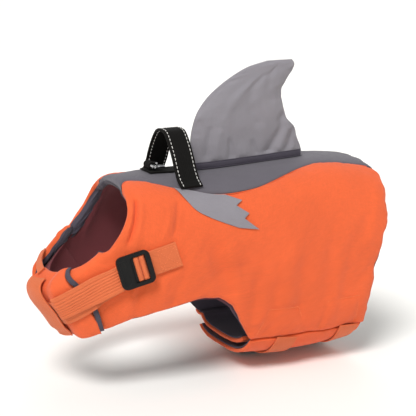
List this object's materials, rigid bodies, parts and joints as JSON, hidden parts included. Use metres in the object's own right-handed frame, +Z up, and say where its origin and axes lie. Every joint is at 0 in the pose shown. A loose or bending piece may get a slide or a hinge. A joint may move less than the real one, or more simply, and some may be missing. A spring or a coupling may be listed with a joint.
{
  "type": "dog life jacket",
  "caption": "Padded dog life jacket with a stuffed back fin, grab handle, leash ring, chest flap with an adjustable neck strap, and two belly flaps with buckled straps.",
  "frame": {"origin": "on the spine, at the inner face of the back lining, half way along the back, where the jacket lies on the dog's back", "axes": "+X towards the tail, +Y away from the side with the strap slide (the dog's right), +Z up"},
  "size_m": [0.3855, 0.164, 0.3225],
  "materials": {
    "orange": "woven polyester shell over foam",
    "webbing": "woven webbing, satin",
    "back_grey": "woven polyester, matt",
    "fin_grey": "woven polyester, slight sheen",
    "facing": "woven polyester, matt",
    "lining": "smooth lining cloth",
    "black_webbing": "woven nylon webbing",
    "black_plastic": "moulded acetal",
    "ring_steel": "polished"
  },
  "bodies": {
    "jacket": {"back_panel": "back_grey", "lining_back": "lining", "side_left": "orange", "lining_left": "lining", "side_right": "orange", "lining_right": "lining", "neck_facing": "facing", "chest_flap": "orange", "lining_flap": "lining", "flap_edge_binding": "facing", "strap_anchor": "webbing", "neck_strap_base": "webbing", "neck_strap": "webbing", "chest_keeper": "webbing", "chest_bridge": "webbing", "strap_slide": "black_plastic", "slide_webbing": "webbing", "patch_left": "fin_grey", "patch_right": "fin_grey", "fin_left": "fin_grey", "fin_right": "fin_grey", "fin_band_left": "facing", "fin_band_right": "facing", "handle": "black_webbing", "ring_base": "black_webbing", "ring_keeper": "black_webbing", "belly_flap_outer": "orange", "lining_belly_outer": "lining", "belly_flap_inner": "orange", "lining_belly_inner": "lining", "belly_strap_front_near": "webbing", "belly_strap_front_far": "webbing", "buckle_socket_front": "black_plastic", "buckle_plug_front": "black_plastic", "belly_strap_rear_near": "webbing", "belly_strap_rear_far": "webbing", "buckle_socket_rear": "black_plastic", "buckle_plug_rear": "black_plastic"},
    "leash_ring": {"leash_ring": "ring_steel"}
  },
  "joints": [
    {"name": "leash_ring_swing", "type": "hinge", "parent": "jacket", "child": "leash_ring", "pos_m": [-0.098, 0, 0.01829], "axis": [0, -1, 0], "range_deg": [0, 150]}
  ]
}
